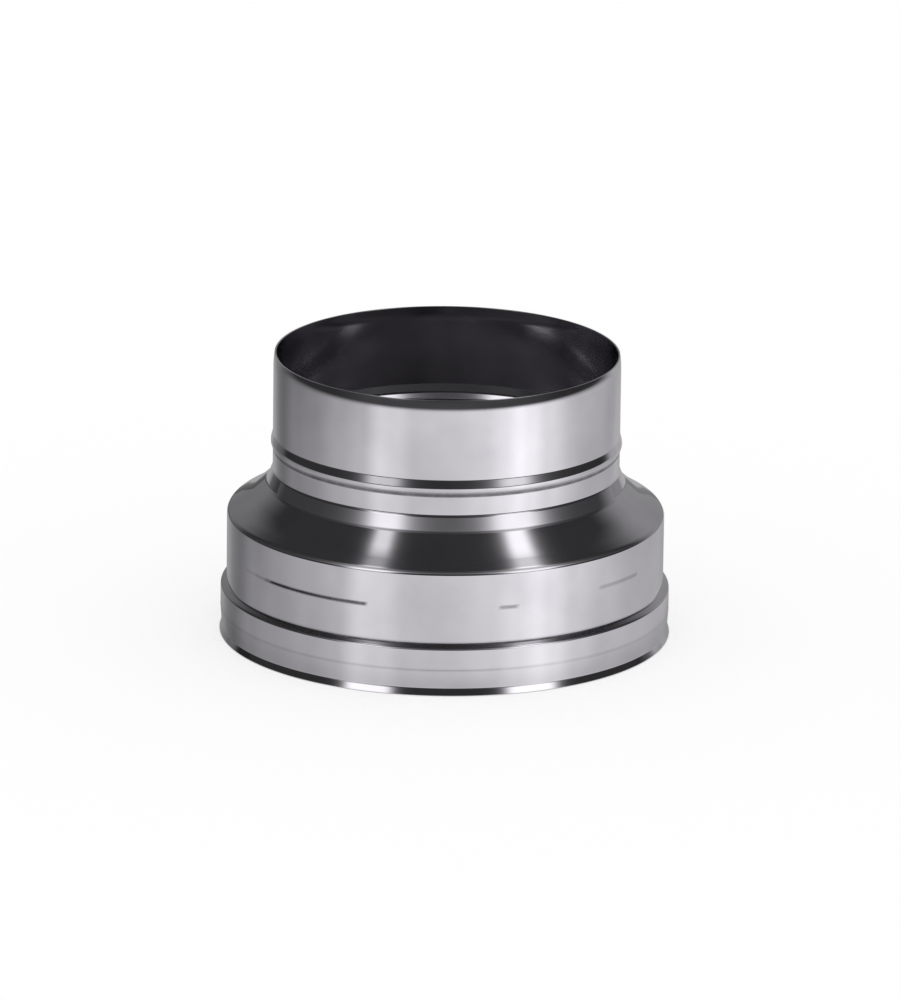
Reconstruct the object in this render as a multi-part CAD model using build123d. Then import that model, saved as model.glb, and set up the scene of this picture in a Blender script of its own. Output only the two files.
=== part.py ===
from build123d import *
from math import atan2, hypot, pi, radians, tan
import os

# Duct reducer: one spun sheet, wide mouth down, narrow spigot up.
# Millimetres and degrees. Diameters are over the outside of the sheet, slopes are from the level.

sheet_thickness = 0.5

# Spigot, the narrow plain end that slips into a duct
spigot_diameter = 99.3
spigot_length = 23.75

# Stop bead under the spigot, longer on its upper side
bead_height = 0.45
bead_upper_run = 1.75
bead_crest_run = 1.5
bead_lower_run = 0.95
bead_upper_bend = 2.5
bead_lower_bend = 1.2

# Plain band and flared neck under the bead
band_length = 5.8
band_bend = 3.0
neck_length = 4.4
neck_flare = 1.7
neck_bend = 2.5

# Hollow shoulder, steep at the neck and flatter at its outer edge
shoulder_inner_slope = 41.5
shoulder_outer_slope = 30.5
shoulder_hollow = 25.0
edge_bend = 2.6

# Body wall
body_diameter = 125.3
body_length = 21.1

# Step out to the mouth
step_out = 1.7
step_slope = 28.0
step_inner_bend = 0.6
step_outer_bend = 0.8

# Mouth band, with a faint ridge round it, drawn in a little below and flared to a lip at its foot
upper_band_length = 6.15
ridge_run = 0.25
ridge_swell = 0.07
ridge_bend = 0.5
lower_band_length = 5.2
waist_depth = 0.35
lip_length = 2.0
lip_flare = 0.6
lip_bend = 2.0

# Share of a straight run that one bend may use up
bend_share = 0.48

# Radii of the outer face
spigot_radius = spigot_diameter / 2
crest_radius = spigot_radius + bead_height
neck_radius = spigot_radius + neck_flare
body_radius = body_diameter / 2
mouth_radius = body_radius + step_out
ridge_radius = mouth_radius + ridge_swell
waist_radius = mouth_radius - waist_depth
lip_radius = waist_radius + lip_flare

# Heights from the foot upwards
ridge_height = lip_length + lower_band_length
ridge_head = ridge_height + ridge_run
step_foot = ridge_head + upper_band_length
step_head = step_foot + step_out * tan(radians(step_slope))
edge_height = step_head + body_length

# The two slopes of the shoulder meet half way across it
shoulder_half = (body_radius - neck_radius) / 2
middle_radius = neck_radius + shoulder_half
middle_height = edge_height + shoulder_half * tan(radians(shoulder_outer_slope))
crease_height = middle_height + shoulder_half * tan(radians(shoulder_inner_slope))

neck_height = crease_height + neck_length
bead_foot = neck_height + band_length
crest_foot = bead_foot + bead_lower_run
crest_head = crest_foot + bead_crest_run
bead_head = crest_head + bead_upper_run
rim_height = bead_head + spigot_length

# Corners of the outer face from the rim down, each with the radius of its bend
corners = [
    (spigot_radius, bead_head, bead_upper_bend),
    (crest_radius, crest_head, bead_upper_bend),
    (crest_radius, crest_foot, bead_lower_bend),
    (spigot_radius, bead_foot, bead_lower_bend),
    (spigot_radius, neck_height, band_bend),
    (neck_radius, crease_height, neck_bend),
    (middle_radius, middle_height, shoulder_hollow),
    (body_radius, edge_height, edge_bend),
    (body_radius, step_head, step_inner_bend),
    (mouth_radius, step_foot, step_outer_bend),
    (mouth_radius, ridge_head, ridge_bend),
    (ridge_radius, ridge_height, ridge_bend),
    (waist_radius, lip_length, lip_bend),
]

# The lip runs on below the foot by one thickness, so that its end can be cut level
lip_slope = lip_flare / lip_length
lip_end = (lip_radius + lip_slope * sheet_thickness, -sheet_thickness)
points = [(spigot_radius, rim_height)] + [corner[:2] for corner in corners] + [lip_end]


def bend_radius(before, corner, after, wanted):
    # A bend leaves some of the two straight runs beside it
    run_in = (corner[0] - before[0], corner[1] - before[1])
    run_out = (after[0] - corner[0], after[1] - corner[1])
    turn = abs(atan2(*run_out) - atan2(*run_in))
    turn = min(turn, 2 * pi - turn)
    longest = bend_share * min(hypot(*run_in), hypot(*run_out)) / tan(turn / 2)
    return min(wanted, longest)


bends = [
    bend_radius(points[i], points[i + 1], points[i + 2], corners[i][2])
    for i in range(len(corners))
]

# Sheet section between the outer face and the face one thickness inside it, turned round the axis
with BuildPart() as reducer:
    with BuildSketch(Plane.XZ):
        with BuildLine():
            FilletPolyline(*points, radius=bends)
            offset(amount=sheet_thickness, side=Side.RIGHT)
        make_face()
    revolve(axis=Axis.Z)
    split(bisect_by=Plane.XY, keep=Keep.TOP)

os.makedirs("parts", exist_ok=True)
export_step(reducer.part, "parts/reducer.step")
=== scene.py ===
import bpy
from math import atan2, cos, degrees, hypot, pi, radians, sin, tan
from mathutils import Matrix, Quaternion


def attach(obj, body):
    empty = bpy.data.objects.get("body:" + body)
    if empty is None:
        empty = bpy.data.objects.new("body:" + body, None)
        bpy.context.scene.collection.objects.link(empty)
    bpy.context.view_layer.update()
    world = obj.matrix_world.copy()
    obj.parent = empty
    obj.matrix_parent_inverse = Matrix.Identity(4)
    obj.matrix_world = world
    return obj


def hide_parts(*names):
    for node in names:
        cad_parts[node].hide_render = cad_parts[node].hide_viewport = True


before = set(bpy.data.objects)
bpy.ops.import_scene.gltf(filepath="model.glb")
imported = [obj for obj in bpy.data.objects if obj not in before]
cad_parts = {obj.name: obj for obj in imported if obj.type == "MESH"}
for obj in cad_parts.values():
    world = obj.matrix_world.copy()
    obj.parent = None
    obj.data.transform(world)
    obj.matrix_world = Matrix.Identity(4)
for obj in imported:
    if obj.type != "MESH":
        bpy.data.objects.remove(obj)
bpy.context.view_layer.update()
bpy.ops.object.select_all(action="DESELECT")  # the nodes come in selected


# Spun sheet, modelled over the CAD node from its outer face inwards

spunSheet = {
    "sheet": 0.5,  # millimetres from here on
    "rim": (49.35, 82.08),  # radius, height
    "corners": [  # radius, height, bend, cuts in the bend
        (49.56, 80.32, 22.0, 5),  # rim just turned in
        (49.65, 78.92, 21.0, 5),
        (49.65, 58.7, 2.5, 6),  # bead head
        (50.22, 56.5, 2.5, 6),  # crest head
        (50.22, 55.7, 1.0, 6),  # crest foot
        (49.65, 54.131, 1.2, 6),  # bead foot
        (49.65, 48.331, 3.0, 8),  # neck
        (51.35, 43.931, 2.5, 8),  # crease under the neck
        (57.0, 38.932, 25.0, 14),  # hollow of the shoulder
        (62.65, 35.604, 2.0, 16),  # outer edge
        (62.65, 14.504, 0.6, 8),  # step head
        (64.35, 13.6, 0.8, 9),  # step foot
        (64.35, 7.45, 0.5, 3),  # ridge head
        (64.38, 7.2, 0.4, 4),  # ridge
        (64.0, 2.0, 2.0, 8),  # waist
    ],
    "foot": (64.58, 0.0),
    "turns": 288,  # steps round the axis
    "rimBreak": 0.07,  # edge broken off the raw cut
    "edge": 9,  # corner that the body wall hangs from
    # painted shade: darker lines painted into the concave corners at the bead foot and the step, and along the
    # ridge
    "paintedShadeCorners": [  # corner, painted shade, reach up and out, degrees from the front to where it fades
        (5, 0.75, 0.22, 0.2, 180),  # foot of the bead
        (10, 0.35, 0.7, 1.3, 50),  # step
        (10, 0.8, 0.32, 0.3, 50),  # and its head
        (12, 0.16, 0.2, 0.1, 180),  # ridge
        (13, 0.16, 0.2, 0.1, 180),
    ],
    "paintedShadeFade": 30.0,  # degrees that the fading takes
    "paintedShadeReachIn": 0.06,  # reach in from a corner
    "rows": {  # extra rows under a corner, for painted shade and scored lines
        5: (53.7,),
        9: (27.0, 26.65, 26.35, 26.0, 25.7, 25.4, 25.1, 24.75, 24.4, 24.2, 15.4),
        11: (8.0,),
        13: (6.7,),
    },
    "scores": [  # height, from, to (degrees right of the front), depth, darkening
        (25.1, -64.0, -59.0, 0.01, 0.15),
        (25.1, -59.0, -55.0, 0.03, 0.3),
        (25.1, -55.0, -52.0, 0.08, 0.6),
        (25.1, -52.0, -21.0, 0.15, 0.9),
        (25.1, -21.0, 14.0, 0.008, 0.0),
        (25.1, 14.0, 19.0, 0.08, 0.55),
        (26.35, 44.0, 61.0, 0.05, 0.32),
    ],
    "scoreSpread": (0.55, 0.89),  # darkening above and below a score
    "smoothAngle": 35.0,  # sharper edges stay sharp
}


def pick(piece, wanted):
    # vertices chosen by their place, left in edit mode
    bpy.ops.object.mode_set(mode="EDIT")
    bpy.ops.mesh.select_mode(type="VERT")
    bpy.ops.mesh.select_all(action="DESELECT")
    bpy.ops.object.mode_set(mode="OBJECT")
    for vertex in piece.data.vertices:
        vertex.select = wanted(vertex.co * 1000)
    bpy.ops.object.mode_set(mode="EDIT")


def bendReach(before, corner, after, bend):
    # length of run that a bend takes, and the bevel shape that comes nearest to an arc
    runIn = (corner[0] - before[0], corner[1] - before[1])
    runOut = (after[0] - corner[0], after[1] - corner[1])
    turn = abs(atan2(runOut[1], runOut[0]) - atan2(runIn[1], runIn[0]))
    turn = min(turn, 2 * pi - turn)
    runShare = 0.48  # of a run, for one bend
    longest = runShare * min(hypot(*runIn), hypot(*runOut))
    shape = (1 - 1 / (2 + 2 * cos(turn / 2))) ** 2
    return min(bend * tan(turn / 2), longest), shape


def makeSpunSheet(s):
    mm = 0.001
    bpy.ops.mesh.primitive_plane_add(size=0.001)
    piece = bpy.context.object
    piece.name = "spunSheet"
    bpy.ops.object.mode_set(mode="EDIT")
    bpy.ops.mesh.merge(type="CENTER")  # one point to draw the section from
    bpy.ops.transform.translate(value=(s["rim"][0] * mm, 0, s["rim"][1] * mm))

    # section of the outer face, drawn down from the rim and run on below the foot
    lastCorner = s["corners"][-1]
    below = s["sheet"]
    slope = (s["foot"][0] - lastCorner[0]) / (lastCorner[1] - s["foot"][1])
    lipEnd = (s["foot"][0] + slope * below, -below)
    path = [s["rim"]] + [c[:2] for c in s["corners"]] + [lipEnd]
    for i in range(1, len(path)):
        start, end = path[i - 1], path[i]
        stops = []
        for row in s["rows"].get(i - 2, ()):
            share = (row - start[1]) / (end[1] - start[1])
            stops.append((start[0] + share * (end[0] - start[0]), row))
        last = start
        for stop in stops + [end]:
            step = ((stop[0] - last[0]) * mm, 0, (stop[1] - last[1]) * mm)
            bpy.ops.mesh.extrude_region_move(TRANSFORM_OT_translate={"value": step})
            last = stop

    # bends
    for i, corner in enumerate(s["corners"]):
        reach, shape = bendReach(path[i], path[i + 1], path[i + 2], corner[2])
        pick(piece, lambda co: abs(co.x - corner[0]) < 0.002 and abs(co.z - corner[1]) < 0.002)
        bpy.ops.mesh.bevel(affect="VERTICES", offset_type="OFFSET", offset=reach * mm, segments=corner[3],
                           profile=shape, clamp_overlap=False)
    print("section drawn", len(piece.data.vertices))

    # turned round the axis, closed and given its thickness inwards
    bpy.ops.mesh.select_all(action="SELECT")
    bpy.ops.mesh.spin(steps=s["turns"], angle=2 * pi, center=(0, 0, 0), axis=(0, 0, 1))
    bpy.ops.mesh.select_all(action="SELECT")
    bpy.ops.mesh.remove_doubles(threshold=0.000002)
    bpy.ops.mesh.normals_make_consistent(inside=False)
    bpy.ops.object.mode_set(mode="OBJECT")
    if piece.data.polygons[0].normal.dot(piece.data.polygons[0].center) < 0:
        bpy.ops.object.mode_set(mode="EDIT")
        bpy.ops.mesh.flip_normals()
        bpy.ops.object.mode_set(mode="OBJECT")
    wall = piece.modifiers.new("wall", "SOLIDIFY")
    wall.thickness = s["sheet"] * mm
    wall.offset = -1
    wall.use_even_offset = True
    wall.use_quality_normals = True
    bpy.ops.object.modifier_apply(modifier="wall")

    # foot cut level
    bpy.ops.object.mode_set(mode="EDIT")
    bpy.ops.mesh.select_all(action="SELECT")
    bpy.ops.mesh.bisect(plane_co=(0, 0, 0), plane_no=(0, 0, 1), clear_inner=True, use_fill=False)
    bpy.ops.mesh.select_all(action="DESELECT")
    bpy.ops.mesh.select_mode(type="EDGE")
    bpy.ops.mesh.select_non_manifold()
    bpy.ops.mesh.bridge_edge_loops()

    # raw rim with its edges just broken
    cutFoot = s["rim"][1] - 0.1  # the cut leans with the sheet
    pick(piece, lambda co: co.z > cutFoot)
    bpy.ops.mesh.select_mode(type="EDGE")
    bpy.ops.mesh.region_to_loop()
    bpy.ops.mesh.bevel(affect="EDGES", offset=s["rimBreak"] * mm, segments=2, profile=0.5)

    # scored lines, pressed in to a different depth along their length
    outer = s["corners"][s["edge"]][0]
    midSheet = outer - 0.6 * s["sheet"]

    def onScore(co, score, above=0.01, below=0.01):
        height, fromAngle, toAngle = score[:3]
        if not -below < co.z - height < above or hypot(co.x, co.y) < midSheet:
            return False
        return fromAngle <= degrees(atan2(co.x, -co.y)) < toAngle

    for score in s["scores"]:
        pick(piece, lambda co: onScore(co, score))
        share = 1 - score[3] / outer
        bpy.ops.transform.resize(value=(share, share, 1), center_override=(0, 0, score[0] * mm))
    bpy.ops.object.mode_set(mode="OBJECT")

    # darkening in the scored lines, painted shade in some corners, and the inner face, for the finish
    paintedShadeAndScoreDark = piece.data.attributes.new("paintedShadeAndScoreDark", "FLOAT", "POINT")
    inside = piece.data.attributes.new("inside", "FLOAT", "POINT")
    above, below = s["scoreSpread"]
    for vertex in piece.data.vertices:
        co = vertex.co * 1000
        amount = 0.0
        # scored lines are darkened, fading out above and below each
        for score in s["scores"]:
            if onScore(co, score, above, below):
                off = co.z - score[0]
                amount = max(amount, score[4] * (1 - (off / (above if off > 0 else below)) ** 2))
        side = abs(degrees(atan2(co.x, -co.y)))
        # painted shade along the listed corners, faded out away from the front where a fade is set
        for corner, cornerPaintedShade, reachUp, reachOut, fadeFrom in s["paintedShadeCorners"]:
            cornerRadius, cornerAt = s["corners"][corner][:2]
            out = hypot(co.x, co.y) - cornerRadius
            if -s["paintedShadeReachIn"] < out < reachOut and abs(co.z - cornerAt) < reachUp:
                amount = cornerPaintedShade * max(0.0, min(1.0, 1 - (side - fadeFrom) / s["paintedShadeFade"]))
        paintedShadeAndScoreDark.data[vertex.index].value = amount
        inside.data[vertex.index].value = vertex.normal.dot((co.x, co.y, 0)) < 0

    bpy.ops.object.shade_smooth_by_angle(angle=radians(s["smoothAngle"]))
    flats = piece.modifiers.new("flats", "WEIGHTED_NORMAL")  # walls stay straight beside their bends
    flats.mode = "FACE_AREA"
    flats.keep_sharp = True
    bpy.ops.object.modifier_apply(modifier="flats")
    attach(piece, "root")
    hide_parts("reducer")
    print("spun sheet", len(piece.data.vertices), "points", len(piece.data.polygons), "faces")
    return piece


sheetPiece = makeSpunSheet(spunSheet)


# Bright zinc-coated sheet

brightZinc = {
    "light": (0.838, 0.812, 0.866, 1),
    "dull": (0.728, 0.706, 0.757, 1),
    "smooth": 0.04,
    "rough": 0.085,
    "insideRough": 0.065,  # added on the inner face
    "lineScale": 3200.0,  # lines to a metre of section
    "lineWander": 12.0,  # and how fast they change round the axis
    "lineDetail": 3.0,
    "lineRoughness": 0.6,
    "lineDepth": 0.0000006,
    "blotchScale": 42.0,
    "blotchDetail": 4.0,
    "toneFrom": 0.35,  # blotches that are dull, and light
    "toneTo": 0.62,
    "finishFrom": 0.3,  # lines and blotches that are smooth, and rough
    "finishTo": 0.7,
    "paintedShadeAndScoreTone": 0.12,  # share of the colour left under the painted shade and the scored lines
    "paintedShadeAndScoreRough": 0.35,
    "speckScale": 260.0,
    "speckDetail": 2.0,
    "speckLeast": 0.7,  # share of the painted shade and score darkening between specks, and what a speck adds
    "speckMore": 0.6,
}


def node(tree, kind, place, **values):
    made = tree.nodes.new(kind)
    made.location = place
    for name, value in values.items():
        setattr(made, name, value)
    return made


def sums(tree, operation, place, first, second=0, third=None):
    # one sum, each side a number or the output of another node
    made = node(tree, "ShaderNodeMath", place, operation=operation)
    for i, side in enumerate((first, second, third)):
        if isinstance(side, (int, float)):
            made.inputs[i].default_value = side
        elif side is not None:
            tree.links.new(side, made.inputs[i])
    return made.outputs[0]


def ease(tree, place, value, start, stop, startValue=0.0, stopValue=1.0, smooth="SMOOTHSTEP"):
    made = node(tree, "ShaderNodeMapRange", place, interpolation_type=smooth)
    numbers = {"From Min": start, "From Max": stop, "To Min": startValue, "To Max": stopValue}
    for name, number in numbers.items():
        if isinstance(number, (int, float)):
            made.inputs[name].default_value = number
        else:
            tree.links.new(number, made.inputs[name])
    tree.links.new(value, made.inputs["Value"])
    return made.outputs["Result"]


def noise(tree, place, vector, scale, detail, roughness=0.5):
    made = node(tree, "ShaderNodeTexNoise", place)
    made.inputs["Scale"].default_value = scale
    made.inputs["Detail"].default_value = detail
    made.inputs["Roughness"].default_value = roughness
    tree.links.new(vector, made.inputs["Vector"])
    return made.outputs["Fac"]


def makeBrightZinc(z):
    material = bpy.data.materials.new("brightZinc")
    material.use_nodes = True
    tree = material.node_tree
    shader = tree.nodes["Principled BSDF"]
    shader.inputs["Metallic"].default_value = 1.0
    link = tree.links.new

    # fine lines round the axis, counted along the section
    place = node(tree, "ShaderNodeTexCoord", (-1500, 0)).outputs["Object"]
    axes = node(tree, "ShaderNodeSeparateXYZ", (-1300, 0))
    link(place, axes.inputs[0])
    square = sums(tree, "MULTIPLY", (-1100, 120), axes.outputs["X"], axes.outputs["X"])
    square = sums(tree, "MULTIPLY_ADD", (-940, 120), axes.outputs["Y"], axes.outputs["Y"], square)
    radius = sums(tree, "SQRT", (-780, 120), square)
    down = sums(tree, "SUBTRACT", (-620, 60), axes.outputs["Z"], radius)
    section = sums(tree, "MULTIPLY", (-460, 60), down, z["lineScale"])
    spread = node(tree, "ShaderNodeVectorMath", (-620, -160), operation="SCALE")
    spread.inputs["Scale"].default_value = z["lineWander"]
    link(place, spread.inputs[0])
    parts = node(tree, "ShaderNodeSeparateXYZ", (-460, -160))
    link(spread.outputs[0], parts.inputs[0])
    lineAt = node(tree, "ShaderNodeCombineXYZ", (-300, 0))
    link(parts.outputs["X"], lineAt.inputs["X"])
    link(parts.outputs["Y"], lineAt.inputs["Y"])
    link(section, lineAt.inputs["Z"])
    lines = noise(tree, (-140, 60), lineAt.outputs[0], 1.0, z["lineDetail"], z["lineRoughness"])
    blotches = noise(tree, (-140, -240), place, z["blotchScale"], z["blotchDetail"])

    # painted shade and scored-line darkening, ragged at its edges
    paintedShadeAndScoreMask = node(tree, "ShaderNodeAttribute", (-460, 700), attribute_name="paintedShadeAndScoreDark")
    specks = noise(tree, (-460, 500), place, z["speckScale"], z["speckDetail"])
    ragged = sums(tree, "MULTIPLY_ADD", (-260, 560), specks, z["speckMore"], z["speckLeast"])
    paintedShadeAndScoreDark = sums(tree, "MULTIPLY", (-100, 640), paintedShadeAndScoreMask.outputs["Fac"], ragged)
    paintedShadeAndScoreDark = sums(tree, "MINIMUM", (60, 640), paintedShadeAndScoreDark, 1.0)

    # colour, dull and light in blotches and darker under the painted shade and the scored lines
    tone = node(tree, "ShaderNodeMix", (120, 260), data_type="RGBA")
    tone.inputs[6].default_value = z["dull"]
    tone.inputs[7].default_value = z["light"]
    link(ease(tree, (-10, 460), blotches, z["toneFrom"], z["toneTo"], smooth="LINEAR"), tone.inputs[0])
    # painted shade in the corners and the darker scored lines: the colour is scaled down under them
    kept = sums(tree, "MULTIPLY_ADD", (220, 700), paintedShadeAndScoreDark, z["paintedShadeAndScoreTone"] - 1, 1.0)
    colour = node(tree, "ShaderNodeVectorMath", (480, 300), operation="SCALE")
    link(tone.outputs[2], colour.inputs[0])
    link(kept, colour.inputs["Scale"])
    link(colour.outputs[0], shader.inputs["Base Color"])

    # finish, duller under the painted shade and the scored lines and on the inner face
    half = sums(tree, "MULTIPLY", (60, -240), blotches, 0.5)
    blend = sums(tree, "MULTIPLY_ADD", (60, -60), lines, 0.5, half)
    rough = ease(tree, (220, -60), blend, z["finishFrom"], z["finishTo"], z["smooth"], z["rough"], smooth="LINEAR")
    rough = sums(tree, "MULTIPLY_ADD", (380, -60), paintedShadeAndScoreDark, z["paintedShadeAndScoreRough"], rough)
    within = node(tree, "ShaderNodeAttribute", (380, -240), attribute_name="inside")
    rough = sums(tree, "MULTIPLY_ADD", (540, -60), within.outputs["Fac"], z["insideRough"], rough)
    link(rough, shader.inputs["Roughness"])

    bump = node(tree, "ShaderNodeBump", (220, -320))
    bump.inputs["Strength"].default_value = 1.0
    bump.inputs["Distance"].default_value = z["lineDepth"]
    link(lines, bump.inputs["Height"])
    link(bump.outputs["Normal"], shader.inputs["Normal"])
    return material


zinc = makeBrightZinc(brightZinc)
sheetPiece.data.materials.clear()
sheetPiece.data.materials.append(zinc)
print("zinc finish on", sheetPiece.name)


# Pale floor

paleFloor = {
    "side": 9.0,
    "height": -0.0002,
    "tone": (0.9, 0.9, 0.9, 1),
    "rough": 0.9,
    "glow": 0.62,
    "shadedGlowUnderPart": 0.12,  # painted shade: the floor glows less under the part, where it is seen down through it
    "footRadius": 0.0646,
    "footSoft": 0.0004,  # from one glow to the other, in and out from the foot
}


def makeFloor(f):
    bpy.ops.object.select_all(action="DESELECT")
    bpy.ops.mesh.primitive_plane_add(size=f["side"], location=(0, 0, f["height"]))
    floor = bpy.context.object
    floor.name = "paleFloor"
    floor.visible_glossy = False
    pale = bpy.data.materials.new("paleFloor")
    pale.use_nodes = True
    tree = pale.node_tree
    shader = tree.nodes["Principled BSDF"]
    shader.inputs["Base Color"].default_value = f["tone"]
    shader.inputs["Roughness"].default_value = f["rough"]
    shader.inputs["Specular IOR Level"].default_value = 0.0
    shader.inputs["Emission Color"].default_value = (1, 1, 1, 1)
    place = node(tree, "ShaderNodeTexCoord", (-700, -300))
    reach = node(tree, "ShaderNodeVectorMath", (-520, -300), operation="LENGTH")
    tree.links.new(place.outputs["Object"], reach.inputs[0])
    # painted shade under the part: the floor glows less inside the foot
    glow = ease(tree, (-340, -300), reach.outputs["Value"], f["footRadius"] - f["footSoft"],
                f["footRadius"] + f["footSoft"], f["shadedGlowUnderPart"], f["glow"])
    tree.links.new(glow, shader.inputs["Emission Strength"])
    floor.data.materials.append(pale)


makeFloor(paleFloor)
print("pale floor laid")


# Table top, seen by the metal alone: it dims the lit lower half of the studio, and ends in a dim room

tableTop = {
    "side": 9.0,
    "height": -0.0001,
    "footRadius": 0.0646,
    "contact": 0.8,  # light left right beside the foot
    "contactReach": 0.018,
    "withinFoot": 0.075,  # light left under the part
    "withinFade": (0.0012, 0.0002),  # in from the foot
    "near": 0.9,  # light left near the part
    "nearFade": (0.09, 0.24),
    "lean": 0.55,  # more light to the right, for each metre
    "leanReach": 0.4,
    "leanLeast": 0.5,
    "sides": 0.8,  # light left far out to the left and right
    "sidesFade": (0.1, 0.2),
    "sidesBack": (-0.4, 0.1),  # from here back, as a share of the way out
    "edge": 0.475,
    "edgeFade": 0.125,
    "backCover": (0.4, 0.75),  # no edge from here back
    "room": 0.03,
    "roomAhead": 0.06,
    "roomFade": (-0.7, -0.2),
}


def makeTable(t):
    bpy.ops.object.select_all(action="DESELECT")
    bpy.ops.mesh.primitive_plane_add(size=t["side"], location=(0, 0, t["height"]))
    table = bpy.context.object
    table.name = "tableTop"
    table.visible_camera = False
    table.visible_diffuse = False
    table.visible_shadow = False
    shaded = bpy.data.materials.new("shadedTable")
    shaded.use_nodes = True
    tree = shaded.node_tree
    tree.nodes.remove(tree.nodes["Principled BSDF"])
    link = tree.links.new
    place = node(tree, "ShaderNodeTexCoord", (-1100, 0))
    axes = node(tree, "ShaderNodeSeparateXYZ", (-920, 0))
    link(place.outputs["Object"], axes.inputs[0])
    reach = node(tree, "ShaderNodeVectorMath", (-920, -260), operation="LENGTH")
    link(place.outputs["Object"], reach.inputs[0])
    far = reach.outputs["Value"]
    backward = sums(tree, "DIVIDE", (-700, -900), axes.outputs["Y"], far)
    foot = t["footRadius"]

    # light left by the part's foot, and to the two sides
    contact = ease(tree, (-700, -200), far, foot, foot + t["contactReach"], t["contact"], 1.0)
    inner, outer = t["withinFade"]
    outside = ease(tree, (-700, -440), far, foot - inner, foot - outer, t["withinFoot"], 1.0)
    mostLight = 1 + t["lean"] * t["leanReach"]
    lean = sums(tree, "MULTIPLY_ADD", (-700, 200), axes.outputs["X"], t["lean"] / mostLight, 1 / mostLight)
    lean = sums(tree, "MAXIMUM", (-540, 200), lean, t["leanLeast"])
    lean = sums(tree, "MINIMUM", (-380, 200), lean, 1.0)
    nearer = ease(tree, (-700, 440), far, *t["nearFade"], t["near"], 1.0)
    sideways = sums(tree, "ABSOLUTE", (-920, 700), axes.outputs["X"])
    sides = ease(tree, (-700, 700), sideways, *t["sidesFade"], 0.0, 1 - t["sides"])
    sides = sums(tree, "MULTIPLY", (-540, 700), sides, ease(tree, (-700, 960), backward, *t["sidesBack"]))
    sides = sums(tree, "SUBTRACT", (-380, 700), 1, sides)
    shade = sums(tree, "MULTIPLY", (-500, -300), contact, outside)
    for i, share in enumerate((lean, nearer, sides)):
        shade = sums(tree, "MULTIPLY", (-340 + 120 * i, -200), shade, share)

    # the edge, and the room past it
    edge = ease(tree, (-700, -680), far, t["edge"] + t["edgeFade"], t["edge"] - t["edgeFade"])
    behind = ease(tree, (-540, -900), backward, *t["backCover"])
    cover = sums(tree, "MAXIMUM", (-340, -700), edge, behind)
    through = node(tree, "ShaderNodeBsdfTransparent", (60, -100))
    link(shade, through.inputs["Color"])
    room = node(tree, "ShaderNodeEmission", (60, 100))
    link(ease(tree, (-340, 300), backward, *t["roomFade"], t["roomAhead"], t["room"]), room.inputs["Strength"])
    choice = node(tree, "ShaderNodeMixShader", (280, 0))
    link(cover, choice.inputs[0])
    link(room.outputs[0], choice.inputs[1])
    link(through.outputs[0], choice.inputs[2])
    link(choice.outputs[0], tree.nodes["Material Output"].inputs["Surface"])
    table.data.materials.append(shaded)


makeTable(tableTop)
print("table top laid")


# Studio light, a pattern all round that the metal alone sees

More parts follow.
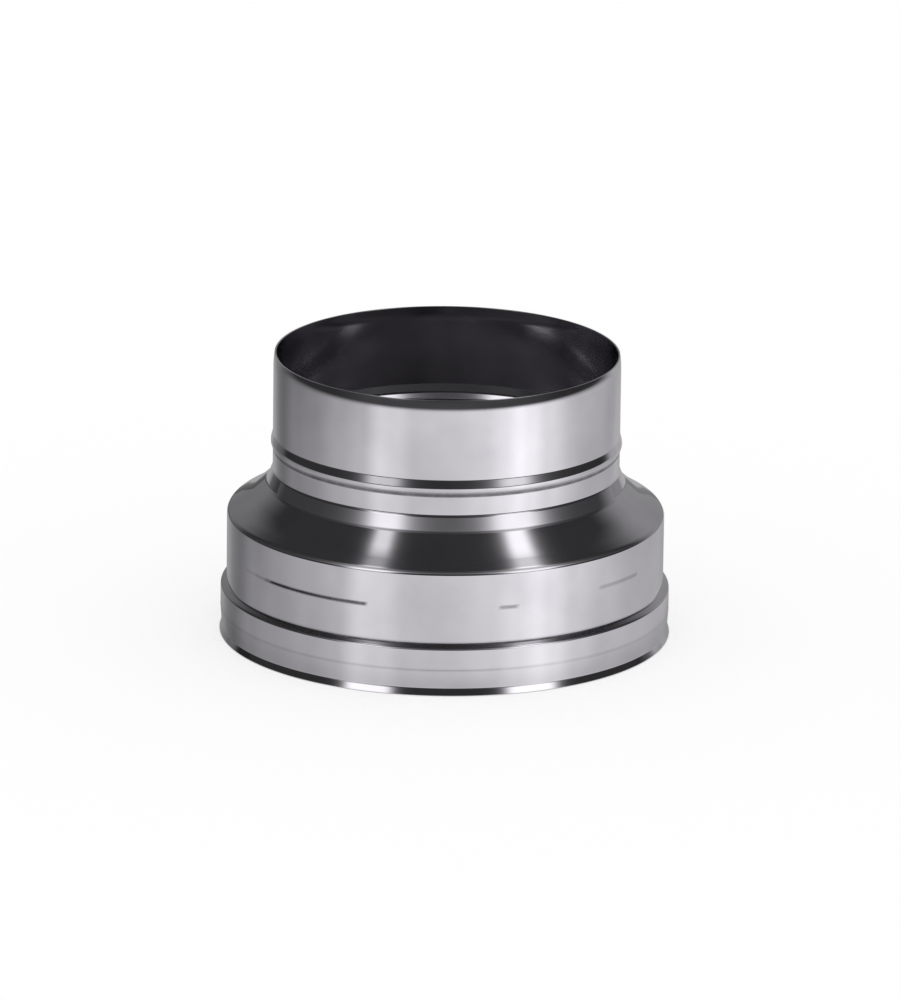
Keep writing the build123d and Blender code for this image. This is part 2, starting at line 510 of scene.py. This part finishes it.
studioLight = {
    "lookIn": 0.9563,  # along and down, the line of sight that the lights are set out from
    "lookDown": 0.2924,
    "dark": 0.03,
    "strips": [  # tilt of the metal that mirrors it, brightness, half width and middle in degrees of turn, hardness
        [
            (4, 0, 6.1, -21, 5), (7.5, 0.1, 6.1, -21, 5), (8.8, 0.64, 6.1, -21, 5), (14.9, 0.64, 6.1, -21, 5),
            (15.5, 1.3, 6.1, -19.6, 9), (17.2, 1.3, 6.1, -19.6, 9), (21, 1.1, 6.6, -19.4, 3.6),
            (25, 0.85, 6.6, -19.6, 3.4), (31, 0.42, 6.1, -20.6, 3), (40, 0.42, 6, -20.6, 3),
            (46, 0.78, 3.2, -19.4, 4), (49, 0.86, 3.1, -19.3, 4.2), (54, 0.66, 3.1, -19.3, 4.2),
            (58, 0.46, 3.2, -19.2, 4), (60.4, 0.28, 3.4, -19.2, 3.6), (61.6, 0.3, 8, -20.5, 3),
            (90, 0.3, 8, -20.5, 3),
        ],
        [
            (4, 0, 5.9, 23.4, 3.6), (7.5, 0.12, 5.9, 23.4, 3.6), (8.8, 0.85, 5.9, 23.4, 3.6),
            (14.9, 0.85, 5.9, 23.4, 3.6), (15.5, 1.3, 6.7, 23.1, 9), (17.2, 1.3, 6.7, 23.1, 9),
            (21, 1.12, 8.7, 23.6, 4), (25, 0.98, 8.2, 23.4, 3.8), (31, 0.57, 6.3, 23.1, 2.9),
            (40, 0.6, 6.2, 23.1, 2.9), (46, 1.1, 4, 22.8, 4), (49, 1.22, 3.8, 22.7, 4.3),
            (54, 1.14, 3.8, 22.8, 4.3), (58, 0.96, 3.8, 22.9, 4.2), (60.4, 0.55, 3.9, 22.9, 4),
            (61.6, 0.42, 8.5, 23, 3), (90, 0.42, 8.5, 23, 3),
        ],
    ],
    "stripsBack": (0.85, 0.65),  # gone, and full, along the line of sight
    "glow": 0.065,  # dim, from the front of the room
    "glowRise": (19.6, 21.6),  # degrees of tilt
    "glowFall": (31, 25),
    "glowTurn": (46, 6),
    "glowLeast": 0.25,
    "sweepLow": (0.16, 0.27),  # pale sweep behind, left and right, near the table and higher
    "sweepHigh": (0.15, 0.25),
    "sweepAcross": (-0.35, 0.35),
    "sweepUp": (-0.12, 0.14),
    "sweepTop": (0.82, 0.4),
    "sweepBack": (0.5, 0.86),
    "sweepSkew": 0.1,
    "tableLight": [  # degrees of turn of a wall that mirrors it, brightness
        (-90, 0.46), (-80, 0.38), (-70, 0.26), (-60, 0.43), (-50, 0.51), (-38, 0.61), (-29, 0.75), (-22, 1.13),
        (-17, 1.07), (-10, 0.86), (2, 0.85), (12, 0.93), (19, 1.11), (25, 1.32), (29, 1.19), (36, 0.91),
        (46, 0.75), (60, 0.65), (72, 0.58), (90, 0.6),
    ],
    "tableBack": 0.5,  # and straight behind the part
    "tableBackFade": (0.84, 0.95),
    "tableFar": (-0.05, -0.09),  # height at which the table starts
    "tableFarDrop": 0.05,  # and how much lower that is behind
    "tableFarBack": (0.7, 0.8),
    "floorSky": 0.42,  # plain white for all but the metal
}


def ramp(tree, place, fac, stops, low, high, smooth="EASE"):
    # stops hold a place and one number, or a place and four
    made = node(tree, "ShaderNodeValToRGB", place)
    made.color_ramp.interpolation = smooth
    bar = made.color_ramp.elements
    while len(bar) > 1:
        bar.remove(bar[-1])
    for i, (at, *values) in enumerate(stops):
        stop = bar[0] if i == 0 else bar.new((at - low) / (high - low))
        stop.position = (at - low) / (high - low)
        stop.color = values if len(values) == 4 else (values[0], values[0], values[0], 1)
    tree.links.new(fac, made.inputs["Fac"])
    return made


def makeStudioLight(s):
    world = bpy.data.worlds.new("studio")
    bpy.context.scene.world = world
    world.use_nodes = True
    tree = world.node_tree
    tree.nodes.clear()
    link = tree.links.new
    place = node(tree, "ShaderNodeTexCoord", (-1900, 0))
    axes = node(tree, "ShaderNodeSeparateXYZ", (-1720, 0))
    link(place.outputs["Generated"], axes.inputs[0])
    across, along, up = (axes.outputs[name] for name in "XYZ")

    # turn and tilt of a wall that would mirror this direction along the line of sight
    depth = sums(tree, "SUBTRACT", (-1540, 120), s["lookIn"], along)
    height = sums(tree, "ADD", (-1540, -40), up, s["lookDown"])
    depthSquare = sums(tree, "MULTIPLY", (-1380, 260), depth, depth)
    flatSquare = sums(tree, "MULTIPLY_ADD", (-1220, 260), across, across, depthSquare)
    flat = sums(tree, "SQRT", (-1060, 260), flatSquare)
    turn = sums(tree, "ARCTAN2", (-1060, 100), across, depth)
    turn = sums(tree, "MULTIPLY", (-900, 100), turn, 180 / pi)
    tilt = sums(tree, "ARCTAN2", (-900, -60), height, flat)
    tilt = sums(tree, "MULTIPLY", (-740, -60), tilt, 180 / pi)
    tiltShare = sums(tree, "DIVIDE", (-580, -60), tilt, 90)
    turnShare = sums(tree, "MULTIPLY_ADD", (-740, 100), turn, 1 / 180, 0.5)

    # two long strip lights that run from the front over the top, their numbers scaled to fit a colour
    total = s["dark"]
    most, widest, farthest = 2, 20, 40
    ahead = ease(tree, (800, -60), along, *s["stripsBack"], 0.0, most)
    for i, stops in enumerate(s["strips"]):
        low = -260 - 420 * i
        scaled = []
        for at, bright, halfWidth, middle, hard in stops:
            scaled.append((at, bright / most, halfWidth / widest, middle / farthest / 2 + 0.5, hard / widest))
        bar = ramp(tree, (-420, low), tiltShare, scaled, 0, 90, "LINEAR")
        values = node(tree, "ShaderNodeSeparateColor", (-160, low))
        link(bar.outputs["Color"], values.inputs[0])
        middle = sums(tree, "MULTIPLY_ADD", (0, low - 200), values.outputs["Blue"], 2 * farthest, -farthest)
        away = sums(tree, "SUBTRACT", (160, low - 200), turn, middle)
        away = sums(tree, "ABSOLUTE", (320, low - 200), away)
        halfWidth = sums(tree, "MULTIPLY", (320, low - 40), values.outputs["Green"], widest)
        away = sums(tree, "DIVIDE", (480, low - 200), away, halfWidth)
        hard = sums(tree, "MULTIPLY", (480, low - 360), bar.outputs["Alpha"], widest)
        falls = sums(tree, "POWER", (640, low - 200), away, hard)
        falls = sums(tree, "ADD", (800, low - 200), falls, 1)
        lit = sums(tree, "DIVIDE", (960, low - 200), ahead, falls)
        total = sums(tree, "MULTIPLY_ADD", (1120, low), lit, values.outputs["Red"], total)

    # dim glow from the front of the room
    rise = ease(tree, (-420, -1140), tilt, *s["glowRise"])
    fall = ease(tree, (-420, -1380), tilt, *s["glowFall"])
    sideways = sums(tree, "ABSOLUTE", (-580, -1620), turn)
    near = ease(tree, (-420, -1620), sideways, *s["glowTurn"], s["glowLeast"], 1.0)
    glow = sums(tree, "MULTIPLY", (-220, -1240), rise, fall)
    glow = sums(tree, "MULTIPLY", (-60, -1300), glow, near)
    total = sums(tree, "MULTIPLY_ADD", (1120, -600), glow, s["glow"], total)

    # pale sweep behind
    rightward = sums(tree, "MULTIPLY_ADD", (-580, -1880), across, s["sweepSkew"], along)
    behind = ease(tree, (-420, -1880), rightward, *s["sweepBack"])
    lowest = ease(tree, (-420, -2120), across, *s["sweepAcross"], *s["sweepLow"])
    highest = ease(tree, (-420, -2360), across, *s["sweepAcross"], *s["sweepHigh"])
    sweep = ease(tree, (-220, -2200), up, *s["sweepUp"], lowest, highest)
    top = ease(tree, (-220, -2440), up, *s["sweepTop"])
    sweep = sums(tree, "MULTIPLY", (-40, -2200), sweep, top)
    total = sums(tree, "MULTIPLY_ADD", (1280, -1200), sweep, behind, total)

    # lit table below
    light = ramp(tree, (-420, -2700), turnShare, s["tableLight"], -90, 90)
    squarely = ease(tree, (-420, -2960), along, *s["tableBackFade"])
    lower = node(tree, "ShaderNodeMix", (-120, -2760))
    link(squarely, lower.inputs["Factor"])
    link(light.outputs["Color"], lower.inputs["A"])
    lower.inputs["B"].default_value = s["tableBack"]
    sunk = ease(tree, (-420, -3100), along, *s["tableFarBack"], 0.0, s["tableFarDrop"])
    sunk = sums(tree, "ADD", (-260, -3100), up, sunk)
    below = ease(tree, (-120, -3000), sunk, *s["tableFar"])
    whole = node(tree, "ShaderNodeMix", (1440, -1200))
    link(below, whole.inputs["Factor"])
    link(total, whole.inputs["A"])
    link(lower.outputs["Result"], whole.inputs["B"])

    # the pattern for the metal, plain white for the floor and behind it all
    forMetal = node(tree, "ShaderNodeBackground", (1640, -160))
    link(whole.outputs["Result"], forMetal.inputs["Color"])
    ray = node(tree, "ShaderNodeLightPath", (1440, 240))
    forFloor = node(tree, "ShaderNodeBackground", (1640, -340))
    forFloor.inputs["Color"].default_value = (1, 1, 1, 1)
    sky = ease(tree, (1460, -340), ray.outputs["Is Camera Ray"], 0, 1, s["floorSky"], 1.0)
    link(sky, forFloor.inputs["Strength"])
    choice = node(tree, "ShaderNodeMixShader", (1860, -120))
    link(ray.outputs["Is Glossy Ray"], choice.inputs[0])
    link(forFloor.outputs[0], choice.inputs[1])
    link(forMetal.outputs[0], choice.inputs[2])
    out = node(tree, "ShaderNodeOutputWorld", (2060, -120))
    link(choice.outputs[0], out.inputs["Surface"])


makeStudioLight(studioLight)
bpy.context.scene.view_settings.view_transform = "Standard"
print("studio light set")


# Camera where the photograph was taken from

viewpoint = {
    "rimHeight": 0.08208,
    "distance": 3.0577,
    "elevation": 15.941,
    "drop": 0.7874,  # aimed below the rim
    "aside": 0.0239,  # and a little to the right
    "roll": 0.695,
    "lens": 385.7,
}


def makeCamera(c):
    tilt = radians(c["elevation"])
    bpy.ops.object.camera_add(location=(0, -c["distance"] * cos(tilt), c["rimHeight"] + c["distance"] * sin(tilt)))
    camera = bpy.context.object
    camera.name = "viewpoint"
    camera.data.lens = c["lens"]
    camera.data.sensor_width = 36
    camera.rotation_mode = "QUATERNION"
    turn = Quaternion((0, 0, 1), radians(-c["aside"]))
    nod = Quaternion((1, 0, 0), radians(90 - c["elevation"] - c["drop"]))
    lean = Quaternion((0, 0, 1), radians(c["roll"]))
    camera.rotation_quaternion = turn @ nod @ lean
    bpy.context.scene.camera = camera


makeCamera(viewpoint)
print("camera set")

bpy.context.view_layer.update()
